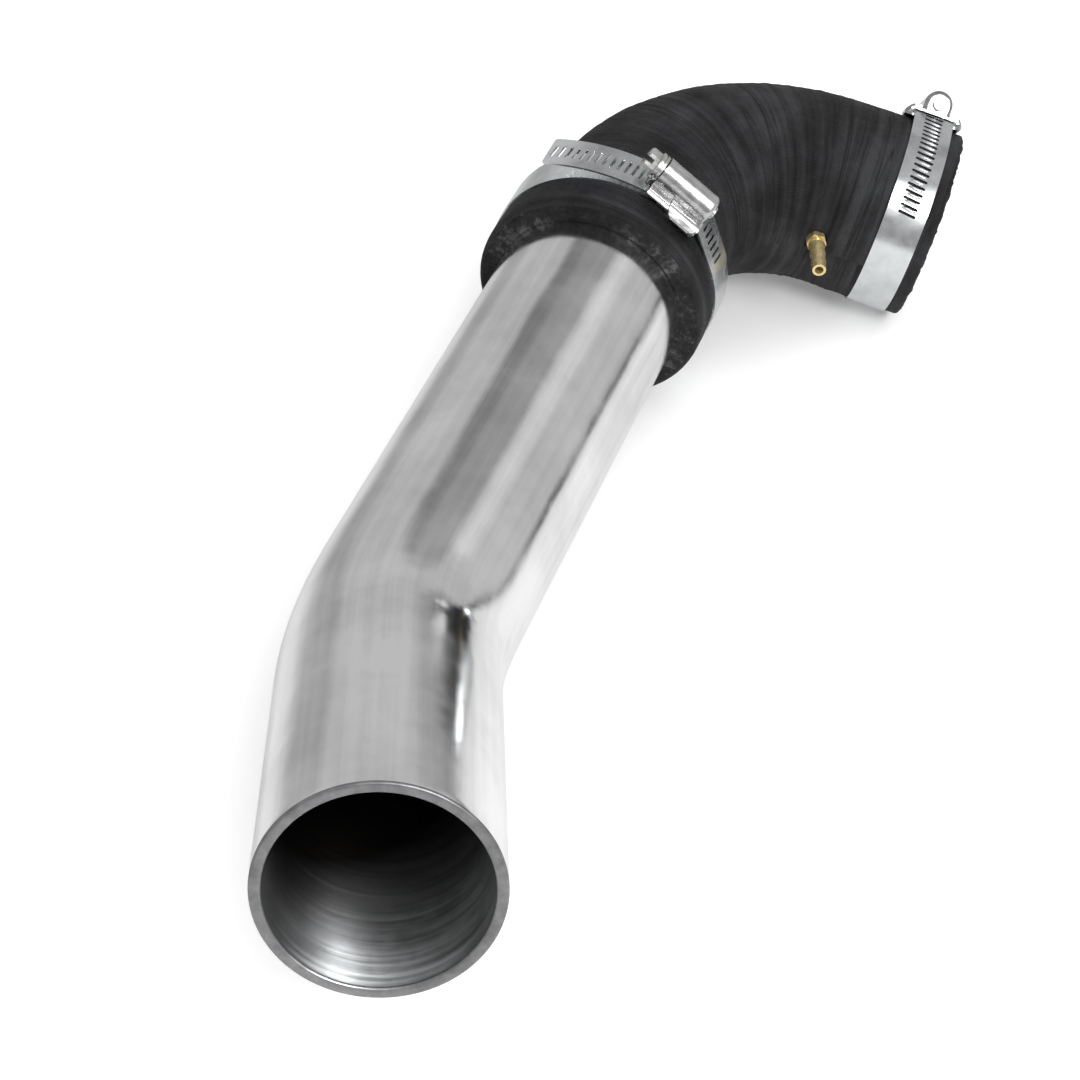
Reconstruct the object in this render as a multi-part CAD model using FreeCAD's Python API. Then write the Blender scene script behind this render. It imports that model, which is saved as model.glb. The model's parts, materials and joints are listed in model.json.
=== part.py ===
import FreeCAD, Part
import math
import os
from FreeCAD import Placement, Rotation, Vector

# A car air intake duct: a bent aluminium pipe pushed into a thick rubber elbow,
# held by two worm drive clamps, with a small brass hose port in the elbow.
# Lengths are in millimetres and angles in degrees. The part lies as it comes to rest.

# Aluminium pipe, 2.5 inch
pipe_outer_radius = 31.75
pipe_wall = 3.175
pipe_inlet_length = 94.8
pipe_bend_radius = 95.25
pipe_bend_angle = 28.0
pipe_outlet_length = 174.8
pipe_rim_round = 0.8

# Rubber elbow
pipe_insertion = 29.0
pipe_fit_clearance = 0.1
pipe_end_clearance = 0.4
mouth_wall = 7.1
mouth_length = 37.5
elbow_twist = 54.0
elbow_bend_radius = 68.4
elbow_angle = 83.7
elbow_wall_at_start = 6.4
elbow_wall_at_end = 5.8
outlet_length = 33.4
outlet_wall = 6.0
outlet_swell_length = 6.5
duct_bore_radius = 27.5
hose_edge_round = 1.2

# Brass port through the elbow's wall
port_station_angle = 75.5
port_roll = -6.4
port_tilt = 3.5
port_seat_depth = 1.0
port_bore_radius = 1.5
port_hex_width = 6.5
port_hex_height = 3.2
port_stem_radius = 2.2
port_barb_radius = 3.0
port_tip_radius = 2.5
port_barb_length = 4.6
port_barb_count = 3
port_barb_foot_share = 0.5
port_neck_length = 1.6
port_shank_radius = 2.5
port_hole_clearance = 0.1
port_nut_width = 7.0
port_nut_height = 2.6
port_washer_radius = 5.5
port_washer_thickness = 0.8
port_shank_past_nut = 0.8
port_thread_clearance = 0.05

# Worm drive clamps
band_width = 14.2
band_thickness = 0.65
band_seat_clearance = 0.05
layer_gap = 0.15
slot_pitch = 2.54
slot_width = 1.0
slot_length = 6.5
slot_corner_share = 0.45
slot_cut_depth = 2.0
tail_end_margin = 2.2
tail_end_round = 1.2
tail_dip_angle = 14.0
tail_dip_radius = 6.0
tail_straightening = 1.8
band_corner_radius = 4.0
first_flat_short_of_head = 5.0
first_flat_short_of_tip = 2.0
second_flat_extra = 0.5
saddle_thickness = 0.8
saddle_curl_radius = 0.9
saddle_hold_gap = 0.05
saddle_tab_share = 0.6
saddle_corner_round = 3.0
housing_length = 21.0
housing_sheet = 0.9
housing_tip_round = 1.6
wing_droop_angle = 50.0
wing_bend_radius = 1.5
wing_lip_length = 0.4
wing_edge_margin = 0.15
thread_radius = 3.8
thread_band_gap = 0.3
thread_dome_gap = 0.35
worm_core_radius = 3.1
worm_end_gap = 0.4
journal_radius = 1.5
journal_running_fit = 0.05
journal_head_radius = 2.2
journal_head_thickness = 0.9
journal_head_gap = 0.15
journal_head_round = 0.35
journal_dimple_radius = 0.8
journal_dimple_depth = 0.4
collar_round = 0.4
collar_radius = 4.8
collar_thickness = 2.7
collar_groove_width = 0.5
collar_groove_depth = 0.6
collar_gap = 0.3
head_width = 7.0
head_height = 3.9
driver_slot_width = 1.6
driver_slot_depth = 2.4

# Where each clamp sits: distance of the band's near edge from the end of the hose
pipe_clamp_inset = 13.5
pipe_clamp_roll = 345.0
pipe_clamp_tail = 39.7
pipe_clamp_slots_shown = 6
pipe_clamp_driver_turn = 38.0
outlet_clamp_inset = 5.4
outlet_clamp_roll = 225.0
outlet_clamp_tail = 36.0
outlet_clamp_slots_shown = 19
outlet_clamp_driver_turn = 0.0

# The side of the bench frame that faces roughly up when the part lies at rest
rough_up = Vector(0.62, -0.73, -0.28)
rest_tries = 60
angle_precision = 0.00001
match_distance = 0.01

# Sizes that follow from the ones above
pipe_bore_radius = pipe_outer_radius - pipe_wall
mouth_bore_radius = pipe_outer_radius + pipe_fit_clearance
mouth_radius = mouth_bore_radius + mouth_wall
elbow_start_radius = duct_bore_radius + elbow_wall_at_start
elbow_end_radius = duct_bore_radius + elbow_wall_at_end
outlet_radius = duct_bore_radius + outlet_wall
dome_bore_radius = thread_radius + thread_dome_gap
dome_radius = dome_bore_radius + housing_sheet

X_AXIS = Vector(1, 0, 0)
Y_AXIS = Vector(0, 1, 0)
Z_AXIS = Vector(0, 0, 1)
ORIGIN = Vector(0, 0, 0)


# Frames along the duct: Z runs along the duct, X points to the inside of the next bend
def advance(frame, length):
    return frame.multiply(Placement(Z_AXIS * length, Rotation()))


def roll(frame, angle):
    return frame.multiply(Placement(ORIGIN, Rotation(Z_AXIS, angle)))


def bend(frame, radius, angle):
    to_centre = Placement(X_AXIS * radius, Rotation())
    turn = Placement(ORIGIN, Rotation(Y_AXIS, angle))
    back = Placement(X_AXIS * -radius, Rotation())
    return frame.multiply(to_centre).multiply(turn).multiply(back)


def axis_of(frame, axis):
    return frame.Rotation.multVec(axis)


def moved(shape, frame):
    copy = shape.copy()
    copy.Placement = frame.multiply(copy.Placement)
    return copy


pipe_inlet = Placement()
pipe_bend_start = advance(pipe_inlet, pipe_inlet_length)
pipe_bend_end = bend(pipe_bend_start, pipe_bend_radius, pipe_bend_angle)
pipe_end = advance(pipe_bend_end, pipe_outlet_length)

# The hose, its port and its clamps are drawn from the hose's mouth and then set on the pipe
hose_on_pipe = advance(pipe_end, -pipe_insertion)
hose_mouth = Placement()
elbow_start = roll(advance(hose_mouth, mouth_length), elbow_twist)
elbow_end = bend(elbow_start, elbow_bend_radius, elbow_angle)
hose_outlet = advance(elbow_end, outlet_length)


# Round solids in a frame
def rod(frame, radius, length):
    return moved(Part.makeCylinder(radius, length), frame)


def bent_rod(frame, radius, bend_radius, angle):
    disc = Part.Face(Part.Wire(Part.makeCircle(radius)))
    swept = disc.revolve(X_AXIS * bend_radius, Y_AXIS, angle)
    return moved(swept, frame)


def tapered_bent_rod(frame, start_radius, end_radius, bend_radius, angle):
    middle = bend(Placement(), bend_radius, angle / 2).Base
    finish = bend(Placement(), bend_radius, angle)
    spine = Part.Wire(Part.Arc(ORIGIN, middle, finish.Base).toShape())
    first = Part.Wire(Part.makeCircle(start_radius))
    last = moved(Part.Wire(Part.makeCircle(end_radius)), finish)
    return moved(spine.makePipeShell([first, last], True, True), frame)


def turned(edges, frame=Placement()):
    outline = Part.Face(Part.Wire(Part.sortEdges(edges)[0]))
    return moved(outline.revolve(ORIGIN, Z_AXIS, 360), frame)


def profile_point(radius, height):
    return Vector(radius, 0, height)


def closed_outline(points):
    return Part.makePolygon(list(points) + [points[0]]).Edges


def s_curve(start, finish):
    # A smooth step between two radii that leaves and arrives along the axis
    middle_height = (start.z + finish.z) / 2
    poles = [start, profile_point(start.x, middle_height), profile_point(finish.x, middle_height), finish]
    curve = Part.BezierCurve()
    curve.setPoles(poles)
    return curve.toShape()


def circle_edges_at(shape, frame, height):
    # The round edges that lie in the plane at a height above a frame
    normal = axis_of(frame, Z_AXIS)
    found = []
    for edge in shape.Edges:
        offset = (edge.CenterOfMass - frame.Base).dot(normal) - height
        if abs(offset) < match_distance and edge.isClosed():
            found.append(edge)
    return found


# Aluminium pipe
def duct_run(radius):
    straight_in = rod(pipe_inlet, radius, pipe_inlet_length)
    curve = bent_rod(pipe_bend_start, radius, pipe_bend_radius, pipe_bend_angle)
    straight_out = rod(pipe_bend_end, radius, pipe_outlet_length)
    return straight_in.fuse([curve, straight_out]).removeSplitter()


def make_pipe():
    tube = duct_run(pipe_outer_radius).cut(duct_run(pipe_bore_radius))
    rim = circle_edges_at(tube, pipe_inlet, 0) + circle_edges_at(tube, pipe_end, 0)
    return tube.makeFillet(pipe_rim_round, rim)


# Rubber elbow
def mouth_outside():
    corner = mouth_radius - hose_edge_round
    corner_middle = profile_point(
        corner + hose_edge_round * math.sin(math.radians(45)),
        hose_edge_round * (1 - math.cos(math.radians(45))),
    )
    rounding = Part.Arc(
        profile_point(corner, 0), corner_middle, profile_point(mouth_radius, hose_edge_round)
    ).toShape()
    side = Part.makeLine(
        profile_point(mouth_radius, hose_edge_round), profile_point(mouth_radius, pipe_insertion)
    )
    step = s_curve(
        profile_point(mouth_radius, pipe_insertion), profile_point(elbow_start_radius, mouth_length)
    )
    top = Part.makeLine(profile_point(elbow_start_radius, mouth_length), profile_point(0, mouth_length))
    axis = Part.makeLine(profile_point(0, mouth_length), ORIGIN)
    base = Part.makeLine(ORIGIN, profile_point(corner, 0))
    return turned([rounding, side, step, top, axis, base], hose_mouth)


def mouth_inside():
    shoulder = pipe_insertion + pipe_end_clearance
    points = [
        ORIGIN,
        profile_point(mouth_bore_radius, 0),
        profile_point(mouth_bore_radius, shoulder),
        profile_point(duct_bore_radius, mouth_length),
        profile_point(0, mouth_length),
    ]
    return turned(closed_outline(points), hose_mouth)


def outlet_outside():
    corner = outlet_radius - hose_edge_round
    corner_middle = profile_point(
        corner + hose_edge_round * math.cos(math.radians(45)),
        outlet_length - hose_edge_round * (1 - math.sin(math.radians(45))),
    )
    swell = s_curve(
        profile_point(elbow_end_radius, 0), profile_point(outlet_radius, outlet_swell_length)
    )
    side = Part.makeLine(
        profile_point(outlet_radius, outlet_swell_length),
        profile_point(outlet_radius, outlet_length - hose_edge_round),
    )
    rounding = Part.Arc(
        profile_point(outlet_radius, outlet_length - hose_edge_round),
        corner_middle,
        profile_point(corner, outlet_length),
    ).toShape()
    top = Part.makeLine(profile_point(corner, outlet_length), profile_point(0, outlet_length))
    axis = Part.makeLine(profile_point(0, outlet_length), ORIGIN)
    base = Part.makeLine(ORIGIN, profile_point(elbow_end_radius, 0))
    return turned([swell, side, rounding, top, axis, base], elbow_end)


def make_hose():
    elbow = tapered_bent_rod(
        elbow_start, elbow_start_radius, elbow_end_radius, elbow_bend_radius, elbow_angle
    )
    outside = mouth_outside().fuse([elbow, outlet_outside()])
    bore = bent_rod(elbow_start, duct_bore_radius, elbow_bend_radius, elbow_angle)
    inside = mouth_inside().fuse([bore, rod(elbow_end, duct_bore_radius, outlet_length)])
    port_space = port_seats()
    return outside.cut(inside).cut(port_space)


# Brass port. Its frame stands on the seat with Z pointing out of the hose.
port_station = bend(elbow_start, elbow_bend_radius, port_station_angle)
port_aim = roll(port_station, port_roll).multiply(Placement(ORIGIN, Rotation(Y_AXIS, 90 - port_tilt)))
port_surface = roll(port_station, port_roll).multiply(
    Placement(X_AXIS * (elbow_end_radius - port_seat_depth), Rotation())
)
port_seat = Placement(port_surface.Base, port_aim.Rotation)
port_wall = elbow_wall_at_end - port_seat_depth - port_seat_depth
port_inner_seat = advance(port_seat, -port_wall)


def hexagon_prism(width, height, chamfer_share=0.0):
    corner = width / math.sqrt(3)
    points = []
    for index in range(6):
        angle = math.radians(60 * index)
        points.append(Vector(corner * math.cos(angle), corner * math.sin(angle), 0))
    outline = Part.Face(Part.makePolygon(points + [points[0]]))
    prism = outline.extrude(Z_AXIS * height)
    if chamfer_share == 0:
        return prism
    drop = (corner - width / 2) * chamfer_share
    cap = turned(closed_outline([
        ORIGIN,
        profile_point(corner, 0),
        profile_point(corner, height - drop),
        profile_point(width / 2, height),
        profile_point(0, height),
    ]))
    return prism.common(cap)


def port_seats():
    # The rubber is pressed flat under the hexagon outside and under the washer inside
    reach = 2 * elbow_wall_at_end
    outer_radius = port_hex_width / math.sqrt(3) + port_hole_clearance
    outer_pocket = rod(port_seat, outer_radius, reach)
    hole = rod(advance(port_inner_seat, -reach), port_shank_radius + port_hole_clearance, reach + port_wall)
    inner_pocket = rod(
        advance(port_inner_seat, -reach), port_washer_radius + port_hole_clearance, reach
    )
    return outer_pocket.fuse([hole, inner_pocket])


def barb_outline():
    # One ridge after another: steep behind, sloping towards the tip
    points = [profile_point(port_stem_radius, port_hex_height)]
    start = port_hex_height + port_neck_length
    for index in range(port_barb_count):
        base = start + index * port_barb_length
        tip_share = (index + 1) / port_barb_count
        ridge = port_barb_radius - (port_barb_radius - port_tip_radius) * index / port_barb_count
        foot = port_stem_radius + (port_tip_radius - port_stem_radius) * tip_share * port_barb_foot_share
        points.append(profile_point(port_stem_radius, base))
        points.append(profile_point(ridge, base))
        points.append(profile_point(foot, base + port_barb_length))
    return points


def make_port_fitting():
    ridges = barb_outline()
    top = ridges[-1].z
    stem = turned(closed_outline(ridges + [profile_point(0, top), profile_point(0, port_hex_height)]))
    hexagon = hexagon_prism(port_hex_width, port_hex_height, 1.0)
    inside = port_wall + port_washer_thickness + port_nut_height + port_shank_past_nut
    shank = Part.makeCylinder(port_shank_radius, inside, Z_AXIS * -inside)
    bore = Part.makeCylinder(port_bore_radius, inside + top, Z_AXIS * -inside)
    return moved(hexagon.fuse([stem, shank]).cut(bore), port_seat)


def make_port_washer():
    hole = port_shank_radius + port_hole_clearance
    ring = Part.makeCylinder(port_washer_radius, port_washer_thickness)
    ring = ring.cut(Part.makeCylinder(hole, port_washer_thickness))
    return moved(ring, advance(port_inner_seat, -port_washer_thickness))


def make_port_nut():
    hole = port_shank_radius + port_thread_clearance
    nut = hexagon_prism(port_nut_width, port_nut_height, 1.0)
    nut = nut.cut(Part.makeCylinder(hole, port_nut_height))
    below = advance(port_inner_seat, -port_washer_thickness)
    turned_over = below.multiply(Placement(ORIGIN, Rotation(X_AXIS, 180)))
    return moved(nut, turned_over)


# Bent sheet strips. A walk holds straight and curved steps in a plane, and knows
# the point and heading at any distance, so that slots can be set along it.
class Walk:
    def __init__(self, x, y, heading):
        self.point = Vector(x, y, 0)
        self.heading = math.radians(heading)
        self.steps = []
        self.length = 0.0

    def straight(self, length):
        self.steps.append(("line", self.point, self.heading, length, 0.0))
        self.point = self.point + direction(self.heading) * length
        self.length += length
        return self

    def curve(self, radius, angle):
        # A positive angle turns to the left
        turn = math.radians(angle)
        side = 1 if turn > 0 else -1
        self.steps.append(("arc", self.point, self.heading, abs(turn) * radius, side / radius))
        centre = self.point + left_of(self.heading) * (side * radius)
        self.heading += turn
        self.point = centre - left_of(self.heading) * (side * radius)
        self.length += abs(turn) * radius
        return self

    def at(self, distance):
        for kind, start, heading, length, bending in self.steps:
            if distance <= length or (kind, start, heading, length, bending) == self.steps[-1]:
                return step_point(start, heading, distance, bending)
            distance -= length


def direction(heading):
    return Vector(math.cos(heading), math.sin(heading), 0)


def left_of(heading):
    return Vector(-math.sin(heading), math.cos(heading), 0)


def step_point(start, heading, distance, bending):
    if bending == 0:
        return start + direction(heading) * distance, heading
    centre = start + left_of(heading) * (1 / bending)
    finish = heading + distance * bending
    return centre - left_of(finish) * (1 / bending), finish


def strip(walk, thickness, width):
    # The walk's middle line made into sheet of a thickness, and extruded to its width
    edges = []
    ends = []
    for side in (thickness / 2, -thickness / 2):
        rim = []
        for kind, start, heading, length, bending in walk.steps:
            spots = []
            for share in (0, 0.5, 1):
                point, towards = step_point(start, heading, length * share, bending)
                spots.append(point + left_of(towards) * side)
            if kind == "line":
                edges.append(Part.makeLine(spots[0], spots[2]))
            else:
                edges.append(Part.Arc(spots[0], spots[1], spots[2]).toShape())
            rim += [spots[0], spots[2]]
        ends.append((rim[0], rim[-1]))
    edges.append(Part.makeLine(ends[0][0], ends[1][0]))
    edges.append(Part.makeLine(ends[0][1], ends[1][1]))
    outline = Part.Face(Part.Wire(Part.sortEdges(edges)[0]))
    sheet = outline.extrude(Z_AXIS * width)
    sheet.translate(Z_AXIS * (-width / 2))
    return sheet


# Levels above the clamp's axis, on the side of its housing, for a band of a given inner radius
def levels(radius):
    level = {}
    level["saddle"] = radius + saddle_thickness / 2
    level["first"] = radius + saddle_thickness + band_seat_clearance + band_thickness / 2
    level["second"] = level["first"] + band_thickness + layer_gap
    level["band_top"] = level["second"] + band_thickness / 2
    level["wing"] = level["band_top"] + layer_gap + housing_sheet / 2
    level["screw"] = level["band_top"] + thread_band_gap + thread_radius
    return level


# Half lengths of the band's flat stretches under the housing
first_flat_to_head = housing_length / 2 - first_flat_short_of_head
first_flat_to_tip = housing_length / 2 - first_flat_short_of_tip
second_flat_to_head = first_flat_to_head + second_flat_extra
second_flat_to_tip = first_flat_to_tip + second_flat_extra


def corner_turn(level, flat_half, circle_radius):
    # How far the strip turns at the end of a flat before it runs straight to the hose
    across = level - band_corner_radius
    distance = math.hypot(across, flat_half)
    bearing = math.atan2(flat_half, across)
    return math.degrees(bearing + math.acos((circle_radius - band_corner_radius) / distance))


def corner_run(level, flat_half, circle_radius):
    # The straight between a corner and the place where the strip meets the hose
    across = level - band_corner_radius
    distance = math.hypot(across, flat_half)
    return math.sqrt(distance ** 2 - (circle_radius - band_corner_radius) ** 2)


def band_walk(radius, tail_length):
    level = levels(radius)
    circle = radius + band_thickness / 2
    leaving = corner_turn(level["first"], first_flat_to_head, circle)
    arriving = corner_turn(level["second"], second_flat_to_tip, circle)
    walk = Walk(level["first"], -first_flat_to_tip, 90)
    walk.straight(first_flat_to_tip + first_flat_to_head)
    walk.curve(band_corner_radius, leaving)
    walk.straight(corner_run(level["first"], first_flat_to_head, circle))
    walk.curve(circle, 360 - leaving - arriving)
    walk.straight(corner_run(level["second"], second_flat_to_tip, circle))
    walk.curve(band_corner_radius, arriving)
    walk.straight(second_flat_to_tip + second_flat_to_head)
    walk.curve(tail_dip_radius, tail_dip_angle)
    tail_radius = radius * tail_straightening
    walk.curve(tail_radius, math.degrees(tail_length / tail_radius))
    return walk


def slot_cutter():
    corner = Vector(slot_width, slot_cut_depth, slot_length) * -0.5
    cutter = Part.makeBox(slot_width, slot_cut_depth, slot_length, corner)
    through = [edge for edge in cutter.Edges if abs(edge.Length - slot_cut_depth) < match_distance]
    cutter = cutter.makeFillet(slot_width * slot_corner_share, through)
    helix = math.degrees(math.atan(slot_pitch / (2 * math.pi * thread_radius)))
    cutter.rotate(ORIGIN, Y_AXIS, helix)
    return cutter


def make_band(radius, tail_length, slots_shown):
    walk = band_walk(radius, tail_length)
    sheet = strip(walk, band_thickness, band_width)
    free_end, heading = walk.at(walk.length)
    corners = []
    for edge in sheet.Edges:
        near = (edge.CenterOfMass - free_end).Length < band_width
        short = abs(edge.Length - band_thickness) < match_distance
        if near and short:
            corners.append(edge)
    sheet = sheet.makeFillet(tail_end_round, corners)
    slotted = tail_length + housing_length + slots_shown * slot_pitch
    count = int((slotted - tail_end_margin) / slot_pitch)
    cutter = slot_cutter()
    cutters = []
    for index in range(count):
        distance = walk.length - tail_end_margin - index * slot_pitch
        point, heading = walk.at(distance)
        place = Placement(point, Rotation(Z_AXIS, math.degrees(heading)))
        cutters.append(moved(cutter, place))
    return sheet.cut(cutters)


# Clamp saddle: a plate under the band whose sides curl over the housing's wings
wing_bend_start = band_width / 2 + wing_edge_margin
saddle_top_length = wing_bend_start - dome_radius - wing_edge_margin


def saddle_walk(radius):
    level = levels(radius)
    offset = housing_sheet / 2 + saddle_hold_gap + saddle_thickness / 2
    outer_bend = wing_bend_radius + offset
    droop = math.radians(wing_droop_angle)
    height = level["wing"] + offset - level["saddle"]
    bends = outer_bend * (1 - math.cos(droop)) + saddle_curl_radius * (1 + math.cos(droop))
    lip = (height - bends) / math.sin(droop)
    walk = Walk(wing_bend_start - saddle_top_length, level["wing"] + offset, 0)
    walk.straight(saddle_top_length)
    walk.curve(outer_bend, -wing_droop_angle)
    walk.straight(lip)
    walk.curve(saddle_curl_radius, wing_droop_angle - 180)
    walk.straight(2 * walk.point.x)
    walk.curve(saddle_curl_radius, wing_droop_angle - 180)
    walk.straight(lip)
    walk.curve(outer_bend, -wing_droop_angle)
    walk.straight(saddle_top_length)
    return walk


# Stands a drawn section across the clamp: its x goes along the clamp's axis and its y up
def across_clamp(shape):
    return moved(shape, Placement(ORIGIN, Rotation(Vector(1, 1, 1), -120)))


def make_saddle(radius):
    level = levels(radius)
    tab_length = housing_length * saddle_tab_share
    curl = across_clamp(strip(saddle_walk(radius), saddle_thickness, tab_length))
    curl.translate(Y_AXIS * (tab_length - housing_length) / 2)
    box = curl.BoundBox
    blank = Part.makeBox(box.XLength, box.YLength, box.ZLength, Vector(box.XMin, box.YMin, box.ZMin))
    upright = [edge for edge in blank.Edges if edge.BoundBox.XLength > box.XLength / 2]
    curl = curl.common(blank.makeFillet(saddle_corner_round, upright))
    tongue_length = housing_length / 2 + first_flat_to_head
    tongue = Part.makeBox(
        saddle_thickness,
        tongue_length,
        band_width,
        Vector(level["saddle"] - saddle_thickness / 2, -housing_length / 2, -band_width / 2),
    )
    return curl.fuse(tongue).removeSplitter()


# Clamp housing: a dome over the screw with a closed tip end and a drooping wing on each side
def dome_section(radius, axis_level, base_level):
    left = Vector(axis_level, 0, -radius)
    right = Vector(axis_level, 0, radius)
    arch = Part.Arc(left, Vector(axis_level + radius, 0, 0), right).toShape()
    down = Part.makeLine(right, Vector(base_level, 0, radius))
    base = Part.makeLine(Vector(base_level, 0, radius), Vector(base_level, 0, -radius))
    rise = Part.makeLine(Vector(base_level, 0, -radius), left)
    return Part.Face(Part.Wire([arch, down, base, rise]))


def make_housing(radius):
    level = levels(radius)
    half = housing_length / 2
    floor_level = level["wing"] - housing_sheet / 2
    dome = dome_section(dome_radius, level["screw"], floor_level)
    dome.translate(Y_AXIS * -half)
    dome = dome.extrude(Y_AXIS * housing_length)
    rim = []
    for edge in dome.Edges:
        at_tip = abs(edge.CenterOfMass.y + half) < match_distance
        above = edge.CenterOfMass.x > floor_level + match_distance
        if at_tip and above:
            rim.append(edge)
    dome = dome.makeFillet(housing_tip_round, rim)
    wing_walk = Walk(0, level["wing"], 0)
    wing_walk.straight(wing_bend_start)
    wing_walk.curve(wing_bend_radius, -wing_droop_angle)
    wing_walk.straight(wing_lip_length)
    wing = across_clamp(strip(wing_walk, housing_sheet, housing_length))
    other_wing = wing.mirror(ORIGIN, Z_AXIS)
    cavity = dome_section(dome_bore_radius, level["screw"], floor_level - housing_sheet)
    cavity.translate(Y_AXIS * (housing_sheet - half))
    cavity = cavity.extrude(Y_AXIS * housing_length)
    journal_hole = Part.makeCylinder(
        journal_radius + journal_running_fit,
        housing_length,
        Vector(level["screw"], -half, 0),
        Y_AXIS,
    )
    shell = dome.fuse([wing, other_wing]).cut(cavity).cut(journal_hole)
    return shell.removeSplitter()


# Clamp screw, drawn along Y with its slotted hexagon head at the far end. Its thread is plain here.
def make_screw(radius, driver_turn):
    level = levels(radius)
    half = housing_length / 2
    core_start = housing_sheet + worm_end_gap
    core_end = housing_length + collar_gap
    core = Part.makeCylinder(worm_core_radius, core_end - core_start, Z_AXIS * core_start)
    journal_end = -journal_head_gap - journal_head_thickness
    journal = Part.makeCylinder(journal_radius, core_start - journal_end, Z_AXIS * journal_end)
    rivet = Part.makeCylinder(journal_head_radius, journal_head_thickness, Z_AXIS * journal_end)
    rivet = rivet.makeFillet(journal_head_round, circle_edges_at(rivet, Placement(), journal_end))
    dimple = Part.makeCylinder(journal_dimple_radius, journal_dimple_depth, Z_AXIS * journal_end)
    head_base = core_end + collar_thickness
    collar = Part.makeCylinder(collar_radius, collar_thickness, Z_AXIS * core_end)
    collar_rim = circle_edges_at(collar, Placement(), core_end)
    collar_rim += circle_edges_at(collar, Placement(), head_base)
    collar = collar.makeFillet(collar_round, collar_rim)
    groove_start = core_end + (collar_thickness - collar_groove_width) / 2
    groove = Part.makeCylinder(2 * collar_radius, collar_groove_width, Z_AXIS * groove_start)
    groove_floor = collar_radius - collar_groove_depth
    groove = groove.cut(Part.makeCylinder(groove_floor, head_base, Z_AXIS * core_start))
    collar = collar.cut(groove)
    head = hexagon_prism(head_width, head_height, 1.0)
    notch = Part.makeBox(
        driver_slot_width,
        2 * head_width,
        driver_slot_depth,
        Vector(-driver_slot_width / 2, -head_width, head_height - driver_slot_depth),
    )
    head = head.cut(notch)
    head.rotate(ORIGIN, Z_AXIS, driver_turn)
    head.translate(Z_AXIS * head_base)
    screw = core.fuse([journal, rivet, collar, head]).cut(dimple).removeSplitter()
    along_y = Placement(Vector(level["screw"], -half, 0), Rotation(Z_AXIS, Y_AXIS))
    return moved(screw, along_y)


# The clamp's own frame: Z along the hose, X through the housing, the screw head towards Y
def clamp_frame(station, angle):
    facing = roll(station, angle)
    return facing.multiply(Placement(ORIGIN, Rotation(X_AXIS, 180)))


pipe_clamp_station = advance(hose_mouth, pipe_clamp_inset + band_width / 2)
outlet_clamp_station = advance(hose_outlet, -outlet_clamp_inset - band_width / 2)
clamps = {
    "pipe_clamp": {
        "frame": clamp_frame(pipe_clamp_station, pipe_clamp_roll),
        "radius": mouth_radius + band_seat_clearance,
        "tail": pipe_clamp_tail,
        "slots": pipe_clamp_slots_shown,
        "driver_turn": pipe_clamp_driver_turn,
    },
    "outlet_clamp": {
        "frame": clamp_frame(outlet_clamp_station, outlet_clamp_roll),
        "radius": outlet_radius + band_seat_clearance,
        "tail": outlet_clamp_tail,
        "slots": outlet_clamp_slots_shown,
        "driver_turn": outlet_clamp_driver_turn,
    },
}


def make_clamp(name, clamp):
    pieces = {
        name + "_band": make_band(clamp["radius"], clamp["tail"], clamp["slots"]),
        name + "_saddle": make_saddle(clamp["radius"]),
        name + "_housing": make_housing(clamp["radius"]),
        name + "_screw": make_screw(clamp["radius"], clamp["driver_turn"]),
    }
    return {node: moved(shape, clamp["frame"]) for node, shape in pieces.items()}


# How the part comes to rest: on the underside of the pipe's bend and on both ends of the hose
def lowest_of_circle(frame, radius, rounding, up):
    axis = axis_of(frame, Z_AXIS)
    sideways = up - axis * up.dot(axis)
    sideways.normalize()
    return frame.Base - sideways * (radius - rounding) - up * rounding


def lowest_of(points, up):
    return min(points, key=lambda point: point.dot(up))


def bend_underside(up):
    # The lowest point of the pipe's bend, found by narrowing down its angle
    low = 0.0
    high = pipe_bend_angle

    def underside(angle):
        frame = bend(pipe_bend_start, pipe_bend_radius, angle)
        return lowest_of_circle(frame, pipe_outer_radius, 0, up)

    while high - low > angle_precision:
        third = (high - low) / 3
        if underside(low + third).dot(up) < underside(high - third).dot(up):
            high -= third
        else:
            low += third
    return underside(low)


def clamped_end_underside(lip, lip_radius, station, up):
    points = [lowest_of_circle(lip, lip_radius, hose_edge_round, up)]
    band_radius = lip_radius + band_seat_clearance + band_thickness
    for edge in (-band_width / 2, band_width / 2):
        points.append(lowest_of_circle(advance(station, edge), band_radius, 0, up))
    return lowest_of(points, up)


def resting_up():
    up = Vector(rough_up)
    up.normalize()
    mouth_lip = hose_on_pipe.multiply(hose_mouth)
    mouth_station = hose_on_pipe.multiply(pipe_clamp_station)
    outlet_lip = hose_on_pipe.multiply(hose_outlet)
    outlet_station = hose_on_pipe.multiply(outlet_clamp_station)
    for attempt in range(rest_tries):
        first = bend_underside(up)
        second = clamped_end_underside(mouth_lip, mouth_radius, mouth_station, up)
        third = clamped_end_underside(outlet_lip, outlet_radius, outlet_station, up)
        normal = (second - first).cross(third - first)
        normal.normalize()
        if normal.dot(up) < 0:
            normal = normal * -1
        up = normal
    return up


def rest_placement():
    # Turns the part so that it stands on its three contacts, with the pipe's inlet run over Y
    up = resting_up()
    inward = axis_of(pipe_inlet, Z_AXIS)
    ahead = inward - up * inward.dot(up)
    ahead.normalize()
    right = ahead.cross(up)
    return Placement(ORIGIN, Rotation(right, ahead, up, "ZYX").inverted())


def centred_on_floor(nodes):
    # Moves everything so that the origin is the middle of the underside of its box
    box = Part.makeCompound(list(nodes.values())).optimalBoundingBox(False, False)
    shift = Vector(-(box.XMin + box.XMax) / 2, -(box.YMin + box.YMax) / 2, -box.ZMin)
    return Placement(shift, Rotation())


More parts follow.
